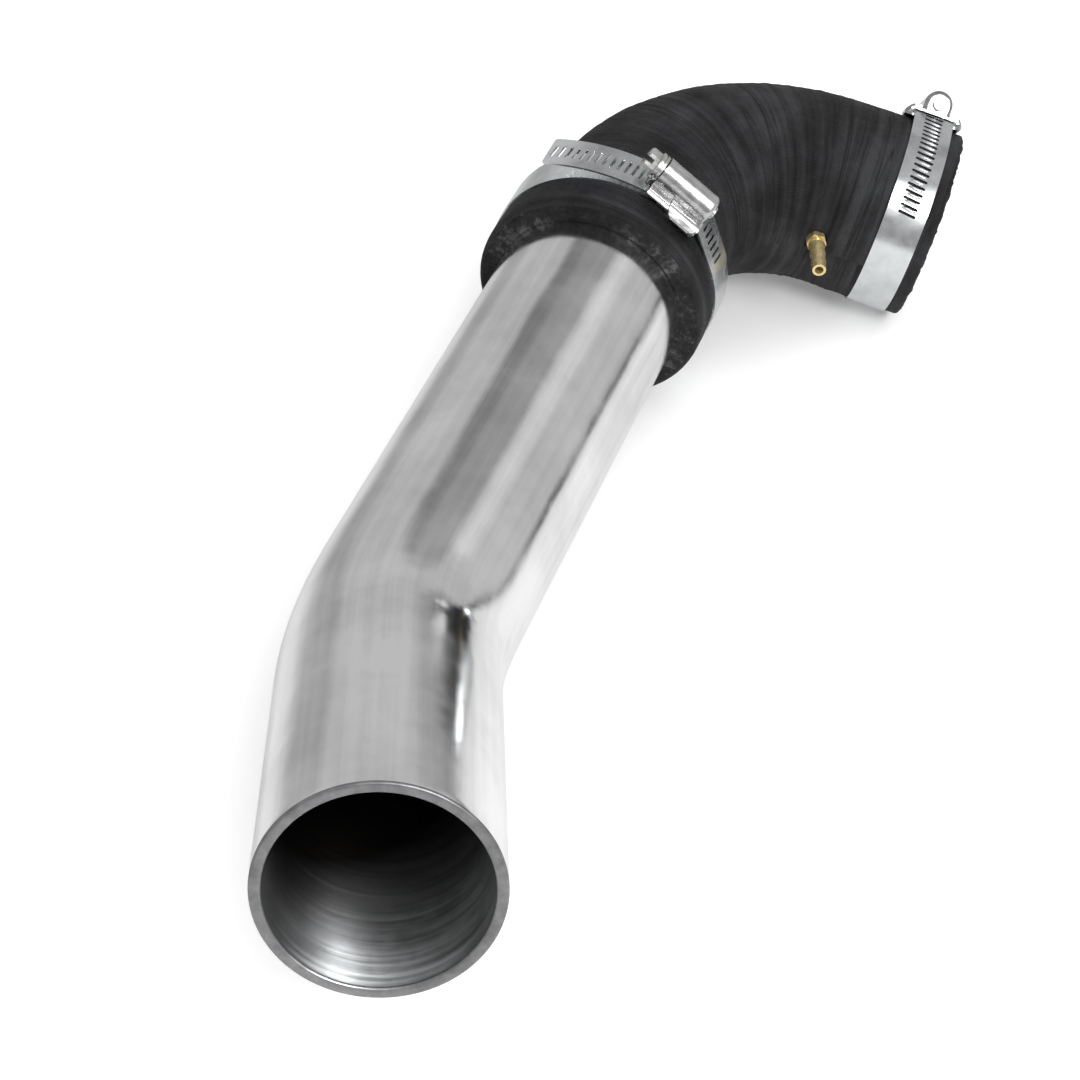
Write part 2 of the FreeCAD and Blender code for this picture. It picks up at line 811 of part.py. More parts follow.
def make_all():
    hose_pieces = {
        "elbow_hose": make_hose(),
        "port_fitting": make_port_fitting(),
        "port_washer": make_port_washer(),
        "port_nut": make_port_nut(),
    }
    for name, clamp in clamps.items():
        hose_pieces.update(make_clamp(name, clamp))
    nodes = {"intake_pipe": make_pipe()}
    for name, shape in hose_pieces.items():
        nodes[name] = moved(shape, hose_on_pipe)
    lying = rest_placement()
    nodes = {name: moved(shape, lying) for name, shape in nodes.items()}
    centring = centred_on_floor(nodes)
    placed = {name: moved(shape, centring) for name, shape in nodes.items()}
    return placed, centring.multiply(lying)


nodes, bench_to_floor = make_all()
os.makedirs("parts", exist_ok=True)
for name, shape in nodes.items():
    solids = shape.Solids
    solid = solids[0] if len(solids) == 1 else Part.makeCompound(solids)
    solid.exportStep(os.path.join("parts", name + ".step"))
    print(name, "solids", len(solids), "valid", solid.isValid(), "volume", round(solid.Volume, 1))
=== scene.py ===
import json
import math
import random

import bmesh
import bpy
from mathutils import Matrix, Vector, noise


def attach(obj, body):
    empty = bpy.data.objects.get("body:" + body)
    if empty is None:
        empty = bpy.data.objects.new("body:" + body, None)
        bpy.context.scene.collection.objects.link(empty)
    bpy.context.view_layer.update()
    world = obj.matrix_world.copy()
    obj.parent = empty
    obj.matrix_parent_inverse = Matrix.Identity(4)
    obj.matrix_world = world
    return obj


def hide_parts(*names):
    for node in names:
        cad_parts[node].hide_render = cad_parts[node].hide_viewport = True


# The looks of a car air intake duct: a polished aluminium pipe, a cloth wrapped rubber
# elbow, two worm drive clamps and a small brass port. Lengths are in metres and angles
# in degrees, unless a name or a comment says otherwise.

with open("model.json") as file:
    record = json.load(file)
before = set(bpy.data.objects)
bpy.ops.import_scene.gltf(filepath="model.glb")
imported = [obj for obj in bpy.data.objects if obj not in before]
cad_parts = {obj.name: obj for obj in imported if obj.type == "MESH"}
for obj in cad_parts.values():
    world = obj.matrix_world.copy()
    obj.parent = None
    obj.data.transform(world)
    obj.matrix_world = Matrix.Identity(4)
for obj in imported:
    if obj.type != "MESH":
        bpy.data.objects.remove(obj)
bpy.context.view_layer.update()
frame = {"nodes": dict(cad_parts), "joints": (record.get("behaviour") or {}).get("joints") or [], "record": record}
random.seed(7)

MM = 0.001

# The duct's own sizes, as in the CAD model
pipe_outer_radius = 31.75 * MM
pipe_wall = 3.175 * MM
pipe_inlet_length = 94.8 * MM
pipe_bend_radius = 95.25 * MM
pipe_bend_angle = 28.0
pipe_outlet_length = 174.8 * MM
pipe_rim_round = 0.8 * MM
pipe_insertion = 29.0 * MM
pipe_fit_clearance = 0.1 * MM
pipe_end_clearance = 0.4 * MM
mouth_wall = 7.1 * MM
mouth_length = 37.5 * MM
elbow_twist = 54.0
elbow_bend_radius = 68.4 * MM
elbow_angle = 83.7
elbow_wall_at_start = 6.4 * MM
elbow_wall_at_end = 5.8 * MM
outlet_length = 33.4 * MM
outlet_wall = 6.0 * MM
outlet_swell_length = 6.5 * MM
duct_bore_radius = 27.5 * MM
hose_edge_round = 1.2 * MM
band_width = 14.2 * MM
band_thickness = 0.65 * MM
band_fit_clearance = 0.05 * MM
pipe_clamp_inset = 13.5 * MM
pipe_clamp_roll = 345.0
outlet_clamp_inset = 5.4 * MM
outlet_clamp_roll = 225.0
slot_pitch = 2.54 * MM
slot_length = 6.5 * MM
outlet_straight_meets_hose = 40.25
outlet_straight_length = 13.5 * MM
outlet_last_slot = 32.48 * MM
port_station_angle = 75.5
port_roll = -6.4
port_tilt = 3.5
port_seat_depth = 1.0 * MM
port_pocket_radius = 3.86 * MM
port_hole_radius = 2.6 * MM
port_inner_pocket_radius = 5.6 * MM
worm_core_radius = 3.1 * MM
worm_thread_radius = 3.8 * MM
worm_pitch = 2.54 * MM
housing_length = 21.0 * MM

# The way the pipe's bend faces at the inlet, as the part lies
inlet_bend_side = Vector((0.7094522, 0.2131294, 0.6717540))

# Sizes of what only the looks have
pipe_ripple = 0.03 * MM
ridges_before_bend = 2 * MM
band_margin = 0.2 * MM
band_fade = 2 * MM
lip_swell = 0.35 * MM
collar_swell = 0.25 * MM
collar_end = 46 * MM
hose_unevenness = 0.25 * MM
hose_sink = 0.12 * MM
plain_by_pipe_clamp = 48 * MM
plain_by_outlet_clamp = 34 * MM
plain_fade = 4 * MM
housing_half_angle = 0.5
sawn_depth = 1.3 * MM
sawn_set_back = 0.45 * MM
hose_rib_count = 440
hose_cord_pitch = 0.0007
# How deep into the bore the painted light fades to painted shade
painted_shade_depth = 60.0 * MM
rib_height = 0.5 * MM

# Material slots of the two swept pieces
OUTSIDE, BORE, CUT = 0, 1, 2

# The camera, fitted to the photograph
camera_place = Vector((-0.101117, -0.554995, 0.544590))
camera_right = Vector((0.99056, 0.01110, 0.13665))
camera_down = Vector((0.10551, -0.69825, -0.70804))
camera_lens = 81.86
camera_sensor = 36.0


# Frames along the duct: Z runs along it and X points to the inside of the next bend
def advance(place, length):
    return place @ Matrix.Translation((0, 0, length))


def roll(place, degrees):
    return place @ Matrix.Rotation(math.radians(degrees), 4, "Z")


def bend(place, radius, degrees):
    out = Matrix.Translation((radius, 0, 0))
    turn = Matrix.Rotation(math.radians(degrees), 4, "Y")
    return place @ out @ turn @ out.inverted()


def frame_from(point, x_axis, z_axis):
    z_axis = z_axis.normalized()
    x_axis = (x_axis - z_axis * x_axis.dot(z_axis)).normalized()
    y_axis = z_axis.cross(x_axis)
    place = Matrix((x_axis, y_axis, z_axis)).transposed().to_4x4()
    place.translation = point
    return place


def axis_of(place):
    return place.to_3x3() @ Vector((0, 0, 1))


def ring_point(radius, angle, height=0.0):
    # A point round the Z axis, by an angle in radians
    return Vector((radius * math.cos(angle), radius * math.sin(angle), height))


mounts = {mount["name"]: mount for mount in frame["record"]["mounts"]}
inlet_mount = mounts["pipe_inlet"]
inlet_axis = -Vector(inlet_mount["axis"])
inlet_point = Vector(inlet_mount["pos_m"]) - inlet_axis * MM
pipe_inlet = frame_from(inlet_point, inlet_bend_side, inlet_axis)
pipe_bend_start = advance(pipe_inlet, pipe_inlet_length)
pipe_bend_end = bend(pipe_bend_start, pipe_bend_radius, pipe_bend_angle)
pipe_end = advance(pipe_bend_end, pipe_outlet_length)
hose_mouth = roll(advance(pipe_end, -pipe_insertion), elbow_twist)
elbow_start = advance(hose_mouth, mouth_length)
elbow_end = bend(elbow_start, elbow_bend_radius, elbow_angle)
hose_outlet = advance(elbow_end, outlet_length)

pipe_bore_radius = pipe_outer_radius - pipe_wall
pipe_bend_length = pipe_bend_radius * math.radians(pipe_bend_angle)
pipe_length = pipe_inlet_length + pipe_bend_length + pipe_outlet_length
elbow_length = elbow_bend_radius * math.radians(elbow_angle)
hose_length = mouth_length + elbow_length + outlet_length


def pipe_place(distance):
    if distance <= pipe_inlet_length:
        return advance(pipe_inlet, distance)
    distance -= pipe_inlet_length
    if distance <= pipe_bend_length:
        return bend(pipe_bend_start, pipe_bend_radius, math.degrees(distance / pipe_bend_radius))
    return advance(pipe_bend_end, distance - pipe_bend_length)


def hose_place(distance):
    if distance <= mouth_length:
        return advance(hose_mouth, distance)
    distance -= mouth_length
    if distance <= elbow_length:
        return bend(elbow_start, elbow_bend_radius, math.degrees(distance / elbow_bend_radius))
    return advance(elbow_end, distance - elbow_length)


def smooth(share):
    share = min(1.0, max(0.0, share))
    return share * share * (3 - 2 * share)


# Meshes
def mesh_object(name, bm):
    mesh = bpy.data.meshes.new(name)
    bmesh.ops.recalc_face_normals(bm, faces=bm.faces)
    bm.to_mesh(mesh)
    bm.free()
    piece = bpy.data.objects.new(name, mesh)
    bpy.context.scene.collection.objects.link(piece)
    return piece


def paint(piece, *materials):
    for material in materials:
        piece.data.materials.append(material)


def bridge(bm, first, second):
    # Faces between two rings with as many points each
    faces = []
    for index in range(len(first)):
        after = (index + 1) % len(first)
        faces.append(bm.faces.new((first[index], first[after], second[after], second[index])))
    return faces


def swept(name, outline, sides, place_at, radius_at):
    # A closed outline of (distance, radius, slot) points swept round a centreline.
    # Its UV map runs round the duct in turns and along the outline in metres.
    bm = bmesh.new()
    uv_layer = bm.loops.layers.uv.new("along")
    rings = []
    for distance, radius, slot in outline:
        place = place_at(distance)
        ring = []
        for side in range(sides):
            angle = 2 * math.pi * side / sides
            reach = radius_at(distance, angle, radius, slot)
            ring.append(bm.verts.new(place @ ring_point(reach, angle)))
        rings.append(ring)
    travelled = [0.0]
    for first, second in zip(outline, outline[1:] + outline[:1]):
        step = math.hypot(second[0] - first[0], second[1] - first[1])
        travelled.append(travelled[-1] + step)
    for index, ring in enumerate(rings):
        following = rings[(index + 1) % len(rings)]
        near, far = travelled[index], travelled[index + 1]
        for side, face in enumerate(bridge(bm, ring, following)):
            face.smooth = True
            face.material_index = outline[index][2]
            here, there = side / sides, (side + 1) / sides
            corners = ((here, near), (there, near), (there, far), (here, far))
            for loop, corner in zip(face.loops, corners):
                loop[uv_layer].uv = corner
    return mesh_object(name, bm)


# Pieces of an outline, which stop one step short of their ends
def stations(start, finish, step):
    count = max(1, round(abs(finish - start) / step))
    return [start + (finish - start) * index / count for index in range(count)]


def run(start, finish, step, slot, radius, end_radius=None, ease=lambda share: share):
    # Along the duct, at one radius or from one radius to another
    change = 0.0 if end_radius is None else end_radius - radius
    return [
        (distance, radius + change * ease((distance - start) / (finish - start)), slot)
        for distance in stations(start, finish, step)
    ]


def rounded(centre_distance, centre_radius, rounding, start, finish, count, slot):
    # On a quarter round, by angles from the way along the duct
    points = []
    for index in range(count):
        angle = math.radians(start + (finish - start) * index / count)
        points.append((
            centre_distance + rounding * math.cos(angle),
            centre_radius + rounding * math.sin(angle),
            slot,
        ))
    return points


# Material and world nodes
class Nodes:
    def __init__(self, tree):
        self.tree = tree

    def add(self, kind, **settings):
        node = self.tree.nodes.new(kind)
        for key, value in settings.items():
            setattr(node, key, value)
        return node

    def link(self, source, target):
        self.tree.links.new(source, target)

    def put(self, value, socket):
        if isinstance(value, bpy.types.NodeSocket):
            self.link(value, socket)
        else:
            socket.default_value = value

    def place(self):
        return self.add("ShaderNodeTexCoord").outputs["Object"]

    def split(self, vector):
        node = self.add("ShaderNodeSeparateXYZ")
        self.link(vector, node.inputs["Vector"])
        return node.outputs

    def reach(self, vector, way):
        # How far a vector goes along a fixed direction
        node = self.add("ShaderNodeVectorMath", operation="DOT_PRODUCT")
        self.link(vector, node.inputs[0])
        node.inputs[1].default_value = way
        return node.outputs["Value"]

    def noise(self, vector, scale, detail=3.0, roughness=0.5):
        node = self.add("ShaderNodeTexNoise")
        self.link(vector, node.inputs["Vector"])
        node.inputs["Scale"].default_value = scale
        node.inputs["Detail"].default_value = detail
        node.inputs["Roughness"].default_value = roughness
        return node.outputs["Fac"]

    def streaks(self, uv, turn_scale, metre_scale, detail, roughness):
        # Noise with one scale round the duct and another along it
        node = self.add("ShaderNodeMapping")
        self.link(uv, node.inputs["Vector"])
        node.inputs["Scale"].default_value = (turn_scale, metre_scale, 1)
        return self.noise(node.outputs["Vector"], 1.0, detail, roughness)

    def spread(self, value, low, high, new_low, new_high):
        node = self.add("ShaderNodeMapRange")
        self.link(value, node.inputs["Value"])
        node.inputs["From Min"].default_value = low
        node.inputs["From Max"].default_value = high
        node.inputs["To Min"].default_value = new_low
        node.inputs["To Max"].default_value = new_high
        return node.outputs["Result"]

    def math(self, operation, first, second=0.0):
        node = self.add("ShaderNodeMath", operation=operation)
        self.put(first, node.inputs[0])
        self.put(second, node.inputs[1])
        return node.outputs["Value"]

    def weighted(self, *terms):
        # The sum of values, each times its weight
        parts = [self.math("MULTIPLY", value, weight) for value, weight in terms]
        total = parts[0]
        for part in parts[1:]:
            total = self.math("ADD", total, part)
        return total

    def ramp(self, value, stops):
        node = self.add("ShaderNodeValToRGB")
        self.link(value, node.inputs["Fac"])
        elements = node.color_ramp.elements
        elements[0].position, elements[0].color = stops[0][0], (*stops[0][1], 1)
        elements[1].position, elements[1].color = stops[-1][0], (*stops[-1][1], 1)
        for position, colour in stops[1:-1]:
            elements.new(position).color = (*colour, 1)
        return node.outputs["Color"]

    def bump(self, height, strength, distance, under=None):
        node = self.add("ShaderNodeBump")
        node.inputs["Strength"].default_value = strength
        node.inputs["Distance"].default_value = distance
        self.link(height, node.inputs["Height"])
        if under is not None:
            self.link(under, node.inputs["Normal"])
        return node.outputs["Normal"]


class MaterialNodes(Nodes):
    sockets = {
        "colour": "Base Color", "metallic": "Metallic", "roughness": "Roughness",
        "normal": "Normal", "specular": "Specular IOR Level", "tangent": "Tangent",
        "anisotropic": "Anisotropic", "anisotropic_rotation": "Anisotropic Rotation",
        "glow": "Emission Strength", "glow_colour": "Emission Color",
    }

    def __init__(self, name):
        self.material = bpy.data.materials.new(name)
        self.material.use_nodes = True
        super().__init__(self.material.node_tree)
        self.shader = self.tree.nodes["Principled BSDF"]

    def uv(self):
        return self.add("ShaderNodeUVMap", uv_map="along").outputs["UV"]

    def set(self, **values):
        for key, value in values.items():
            self.put(value, self.shader.inputs[self.sockets[key]])
        return self.material


def grey(level):
    return (level, level, level)


def polished_aluminium():
    n = MaterialNodes("polished_aluminium")
    uv = n.uv()
    grain = n.streaks(uv, 900, 12, 4.0, 0.6)
    scratches = n.streaks(uv, 16, 1500, 3.0, 0.6)
    streaks = n.streaks(uv, 70, 5, 3.0, 0.5)
    clouds = n.noise(n.place(), 28.0, 4.0, 0.6)
    waves = n.streaks(uv, 5, 22, 1.5, 0.4)
    dents = n.streaks(uv, 13, 62, 2.0, 0.5)
    haze = n.weighted((streaks, 0.3), (clouds, 0.7))
    colour = n.ramp(haze, [(0.38, (0.74, 0.74, 0.745)), (0.60, (0.95, 0.95, 0.955))])
    grain_roughness = n.spread(grain, 0.3, 0.7, 0.05, 0.15)
    cloud_roughness = n.spread(clouds, 0.35, 0.65, -0.03, 0.10)
    roughness = n.math("ADD", grain_roughness, cloud_roughness)
    wavy = n.bump(waves, 0.8, 0.0009)
    dented = n.bump(dents, 0.6, 0.00022, wavy)
    brushed = n.weighted((grain, 0.6), (scratches, 0.6))
    normal = n.bump(brushed, 0.3, 0.00006, dented)
    return n.set(colour=colour, metallic=1.0, roughness=roughness, normal=normal)


def bore_aluminium():
    # The inside keeps its drawing marks round it. Its colour carries painted light low near the rim and painted
    # shade inwards, upwards and to one side
    n = MaterialNodes("bore_aluminium")
    rings = n.streaks(n.uv(), 2.5, 420, 3.0, 0.55)
    patches = n.noise(n.place(), 60.0, 3.0, 0.6)
    marks = n.weighted((rings, 0.5), (patches, 0.5))
    # Painted light near the rim, fading to painted shade deeper in and towards one side
    painted_shade_way = inlet_axis - Vector((0.8, 0, 0))
    start = inlet_point.dot(painted_shade_way)
    near = n.spread(n.reach(n.place(), painted_shade_way), start, start + painted_shade_depth, 1.0, 0.0)
    # Painted light on the lower side, which faces up, and painted shade towards the top
    facing_up = n.split(n.add("ShaderNodeNewGeometry").outputs["Normal"])["Z"]
    low = n.spread(facing_up, -0.35, 0.9, 0.06, 1.0)
    painted_light = n.math("MULTIPLY", n.math("POWER", near, 1.2), low)
    level = n.math("MULTIPLY", painted_light, n.spread(marks, 0.35, 0.65, 0.60, 1.0))
    # The ramp runs from near black painted shade to near white painted light
    colour = n.ramp(level, [
        (0.0, (0.014, 0.012, 0.011)), (0.45, (0.27, 0.275, 0.28)), (0.9, (0.88, 0.91, 0.92)),
    ])
    tangent = n.add("ShaderNodeTangent", direction_type="UV_MAP", uv_map="along")
    roughness = n.spread(rings, 0.3, 0.7, 0.42, 0.54)
    normal = n.bump(rings, 0.45, 0.00014)
    return n.set(
        colour=colour, metallic=0.92, roughness=roughness, normal=normal,
        anisotropic=0.85, anisotropic_rotation=0.25, tangent=tangent.outputs["Tangent"],
    )


def cut_aluminium():
    # The deburred rim at the ends of the pipe, duller than its side
    n = MaterialNodes("cut_aluminium")
    mottle = n.noise(n.place(), 300.0, 4.0, 0.6)
    colour = n.ramp(mottle, [(0.3, (0.19, 0.19, 0.195)), (0.7, (0.30, 0.30, 0.305))])
    normal = n.bump(mottle, 0.3, 0.0001)
    return n.set(colour=colour, metallic=0.8, roughness=0.38, normal=normal)


def cloth_wrapped_rubber():
    # Ribs and cords of the weave, with creases round the hose, painted shade in their hollows and thin painted
    # shade lines along them
    n = MaterialNodes("cloth_wrapped_rubber")
    uv = n.uv()
    turns_and_metres = n.split(uv)
    rib_rate = hose_rib_count * 2 * math.pi
    cord_rate = 2 * math.pi / hose_cord_pitch
    rib = n.math("SINE", n.math("MULTIPLY", turns_and_metres["X"], rib_rate))
    cord = n.math("SINE", n.math("MULTIPLY", turns_and_metres["Y"], cord_rate))
    weave = n.weighted((rib, 0.7), (cord, 0.25))
    patches = n.noise(n.place(), 45.0, 4.0, 0.6)
    lines = n.streaks(uv, 2.5, 330, 3.0, 0.6)
    creases = n.streaks(uv, 1.2, 150, 2.0, 0.5)
    fine = n.noise(n.place(), 900.0, 3.0, 0.7)
    # Thin painted shade lines where the creases cross their middle, weaker in some patches
    crossing = n.math("ABSOLUTE", n.math("SUBTRACT", creases, 0.5))
    crease_shade_line = n.spread(crossing, 0.0, 0.016, 1.0, 0.0)
    crease_shade_line = n.math("MULTIPLY", crease_shade_line, n.spread(patches, 0.40, 0.56, 0.15, 1.0))
    # The colour darkens where the lines, creases and ribs sink, painted shade in the folds; the patches vary the
    # rubber's own tone
    shade = n.weighted(
        (lines, 0.22), (patches, 0.48), (creases, 0.30), (rib, 0.035), (crease_shade_line, -0.10),
    )
    colour = n.ramp(shade, [
        (0.38, (0.007, 0.007, 0.008)), (0.5, (0.031, 0.031, 0.033)), (0.62, (0.062, 0.063, 0.067)),
    ])
    roughness = n.spread(fine, 0.3, 0.7, 0.52, 0.72)
    woven = n.bump(weave, 1.0, 0.00016)
    folds = n.weighted((lines, 1.2), (creases, 5.0), (crease_shade_line, -1.2))
    normal = n.bump(n.math("ADD", fine, folds), 0.55, 0.00022, woven)
    return n.set(colour=colour, roughness=roughness, normal=normal, specular=0.2)


def cut_rubber():
    # The sawn ends: mottled, with pale scuffs
    n = MaterialNodes("cut_rubber")
    place = n.place()
    rough = n.noise(place, 700.0, 5.0, 0.7)
    scuffs = n.noise(place, 330.0, 6.0, 0.8)
    worn = n.noise(place, 45.0, 2.0, 0.5)
    level = n.weighted((scuffs, 0.55), (worn, 0.45))
    colour = n.ramp(level, [
        (0.40, (0.006, 0.006, 0.007)), (0.52, (0.022, 0.022, 0.023)), (0.62, (0.12, 0.12, 0.12)),
    ])
    normal = n.bump(rough, 0.7, 0.0005)
    return n.set(colour=colour, roughness=0.85, normal=normal, specular=0.3)


def sheet_steel(name, colours, roughnesses, rolled_along=None, dents=0.0):
    # Bright sheet. Where it was rolled along a direction, its marks lie across that direction.
    n = MaterialNodes(name)
    place = n.place()
    mottle = n.noise(place, 160.0, 3.0, 0.6)
    if rolled_along is None:
        marks = n.noise(place, 1500.0, 3.0, 0.6)
    else:
        line = n.add("ShaderNodeCombineXYZ")
        n.link(n.reach(place, rolled_along), line.inputs["X"])
        marks = n.noise(line.outputs["Vector"], 4500.0, 3.0, 0.6)
    colour = n.ramp(mottle, [(0.35, colours[0]), (0.65, colours[1])])
    mottle_roughness = n.spread(mottle, 0.3, 0.7, *roughnesses)
    marks_roughness = n.spread(marks, 0.3, 0.7, -0.03, 0.03)
    roughness = n.math("ADD", mottle_roughness, marks_roughness)
    normal = n.bump(marks, 0.08, 0.00004)
    if dents:
        normal = n.bump(n.noise(place, 190.0, 2.0, 0.5), dents, 0.0006, normal)
    return n.set(colour=colour, metallic=1.0, roughness=roughness, normal=normal)


def turned_brass():
    n = MaterialNodes("turned_brass")
    place = n.place()
    mottle = n.noise(place, 500.0, 3.0, 0.6)
    colour = n.ramp(mottle, [(0.35, (0.88, 0.68, 0.32)), (0.65, (0.98, 0.80, 0.44))])
    roughness = n.spread(mottle, 0.3, 0.7, 0.18, 0.34)
    normal = n.bump(n.noise(place, 3000.0, 2.0, 0.5), 0.08, 0.00003)
    return n.set(colour=colour, metallic=0.75, roughness=roughness, normal=normal)


aluminium = polished_aluminium()
aluminium_bore = bore_aluminium()
aluminium_cut = cut_aluminium()
rubber = cloth_wrapped_rubber()
rubber_cut = cut_rubber()
brass = turned_brass()
pipe_band_steel = sheet_steel(
    "pipe_band_steel", ((0.80, 0.82, 0.83), (0.92, 0.94, 0.95)), (0.18, 0.28),
    rolled_along=axis_of(hose_mouth),
)
outlet_band_steel = sheet_steel(
    "outlet_band_steel", ((0.68, 0.70, 0.71), (0.82, 0.84, 0.85)), (0.16, 0.24),
    rolled_along=axis_of(hose_outlet),
)
housing_steel = sheet_steel(
    "housing_steel", (grey(0.54), grey(0.72)), (0.18, 0.28), dents=0.35,
)
outlet_housing_steel = sheet_steel(
    "outlet_housing_steel", (grey(0.34), grey(0.60)), (0.12, 0.24), dents=0.9,
)
screw_steel = sheet_steel(
    "screw_steel", ((0.52, 0.52, 0.51), (0.74, 0.74, 0.73)), (0.22, 0.34), dents=0.35,
)


# Pipe
def pipe_radius(distance, angle, radius, slot):
    # A slight unevenness of the outside, away from the rim
    if slot != OUTSIDE:
        return radius
    ripple = noise.noise(ring_point(1.3, angle, distance * 45))
    return radius + pipe_ripple * ripple * smooth(distance / (6 * MM))


def make_pipe():
    bore = pipe_bore_radius
    rim = pipe_rim_round
    outline = rounded(rim, pipe_outer_radius - rim, rim, 180, 90, 6, CUT)
    outline += run(rim, pipe_length - rim, 2 * MM, OUTSIDE, pipe_outer_radius)
    outline += rounded(pipe_length - rim, pipe_outer_radius - rim, rim, 90, 0, 5, OUTSIDE)
    outline += rounded(pipe_length - rim, bore + rim, rim, 0, -90, 5, BORE)
    outline += run(pipe_length - rim, rim, 4 * MM, BORE, bore)
    outline += rounded(rim, bore + rim, rim, -90, -180, 6, CUT)
    piece = swept("intake_pipe_surface", outline, 176, pipe_place, pipe_radius)
    paint(piece, aluminium, aluminium_bore, aluminium_cut)
    return piece


# Rubber elbow: wrapped ridges along it, a slightly swollen lip, and a ragged far end
def wrap_ridges():
    ridges = []
    distance = mouth_length - ridges_before_bend
    while distance < mouth_length + elbow_length + outlet_swell_length:
        ridges.append((
            distance,
            random.uniform(0.10, 0.30) * MM,
            random.uniform(0.9, 1.7) * MM,
            random.uniform(-1.2, 1.2) * MM,
            random.uniform(0, 2 * math.pi),
        ))
        distance += random.uniform(2.4, 4.4) * MM
    return ridges


ridges = wrap_ridges()
housing_angle_at_mouth = math.radians(pipe_clamp_roll - elbow_twist)
housing_angle_at_outlet = math.radians(outlet_clamp_roll)


def away_from(angle, centre):
    # 0 by a housing at an angle round the hose, 1 away from it; angles in radians
    gap = abs((angle - centre + math.pi) % (2 * math.pi) - math.pi)
    return smooth((gap - housing_half_angle) / 0.15)


def beside_band(distance, start, finish):
    # 0 under a band, rising to 1 a little way from its edges
    outside = max(start - distance, distance - finish)
    return smooth(outside / band_fade)


def ridge_lift(distance, angle):
    lift = 0.0
    for centre, height, width, slant, phase in ridges:
        offset = (distance - centre - slant * math.cos(angle - phase)) / width
        if abs(offset) < 1:
            strength = 0.5 + 0.5 * math.cos(angle * 2 + phase) ** 2
            lift += height * (1 - offset * offset) ** 2 * strength
    return lift


def hose_radius(distance, angle, radius, slot):
    # The ridges, swellings and unevenness of the outside, which leave the clamps free
    if slot == BORE:
        return radius
    pipe_band_end = pipe_clamp_inset + band_width
    pipe_band = (pipe_clamp_inset - band_margin, pipe_band_end + band_margin)
    outlet_band_end = hose_length - outlet_clamp_inset + band_margin
    outlet_band = (outlet_band_end - band_width - 2 * band_margin, outlet_band_end)
    past_pipe_clamp = smooth((distance - plain_by_pipe_clamp) / plain_fade)
    before_outlet_clamp = smooth((hose_length - plain_by_outlet_clamp - distance) / plain_fade)
    free = beside_band(distance, *pipe_band) * beside_band(distance, *outlet_band)
    free *= max(past_pipe_clamp, away_from(angle, housing_angle_at_mouth))
    free *= max(before_outlet_clamp, away_from(angle, housing_angle_at_outlet))
    lip = lip_swell * smooth(distance / (3 * MM))
    lip *= smooth((pipe_clamp_inset + 2 * MM - distance) / (7 * MM))
    collar = collar_swell * smooth((distance - pipe_band_end) / (3 * MM))
    collar *= smooth((collar_end - distance) / (6 * MM))
    uneven = noise.noise(ring_point(1.6, angle, distance * 60)) * hose_unevenness
    lift = ridge_lift(distance, angle) + lip + collar + uneven - hose_sink
    return radius + lift * free


def hose_outline():
    corner = hose_edge_round
    mouth_bore = pipe_outer_radius + pipe_fit_clearance
    mouth_radius = mouth_bore + mouth_wall
    start_radius = duct_bore_radius + elbow_wall_at_start
    end_radius = duct_bore_radius + elbow_wall_at_end
    outlet_radius = duct_bore_radius + outlet_wall
    bend_end = mouth_length + elbow_length
    swell_end = bend_end + outlet_swell_length
    last_straight = hose_length - corner
    shoulder = pipe_insertion + pipe_end_clearance
    sawn_step = 0.6 * MM
    outline = rounded(corner, mouth_radius - corner, corner, 180, 90, 6, OUTSIDE)
    outline += run(corner, pipe_insertion, 0.8 * MM, OUTSIDE, mouth_radius)
    outline += run(
        pipe_insertion, mouth_length, 0.8 * MM, OUTSIDE, mouth_radius, start_radius, smooth,
    )
    outline += run(mouth_length, bend_end, 0.65 * MM, OUTSIDE, start_radius, end_radius)
    outline += run(bend_end, swell_end, 0.7 * MM, OUTSIDE, end_radius, outlet_radius, smooth)
    outline += run(swell_end, last_straight, 0.9 * MM, OUTSIDE, outlet_radius)
    outline += rounded(last_straight, outlet_radius - corner, corner, 90, 0, 6, OUTSIDE)
    outline += [
        (hose_length, radius, CUT)
        for radius in stations(outlet_radius - corner, duct_bore_radius, sawn_step)
    ]
    outline += run(hose_length, mouth_length, 1.6 * MM, BORE, duct_bore_radius)
    outline += run(mouth_length, shoulder, 1.6 * MM, BORE, duct_bore_radius, mouth_bore)
    outline += run(shoulder, 0, 1.8 * MM, BORE, mouth_bore)
    outline += [
        (0, radius, CUT) for radius in stations(mouth_bore, mouth_radius - corner, sawn_step)
    ]
    return outline


def ragged(angle, seed):
    wave = noise.noise(ring_point(9, angle, seed))
    chip = noise.noise(ring_point(30, angle, seed + 5))
    return (0.5 * wave + 0.6 * chip) * MM


def roughen_ends(piece):
    # Moves the points of the two sawn faces along the hose, more at the far end
    inner_edge = duct_bore_radius + 0.2 * MM
    outer_limit = 45 * MM
    for place, sign, share in ((hose_mouth, -1, 0.35), (hose_outlet, 1, 1.0)):
        inverse = place.inverted()
        axis = axis_of(place)
        for vertex in piece.data.vertices:
            local = inverse @ vertex.co
            depth = -sign * local.z
            reach = math.hypot(local.x, local.y)
            if -0.01 * MM < depth < sawn_depth and inner_edge < reach < outer_limit:
                angle = math.atan2(local.y, local.x)
                fade = 1 - depth / sawn_depth
                pits = noise.noise(local * 900) * 0.2 * MM
                move = (ragged(angle, reach * 60) + pits - sawn_set_back) * share * fade
                vertex.co += axis * sign * move


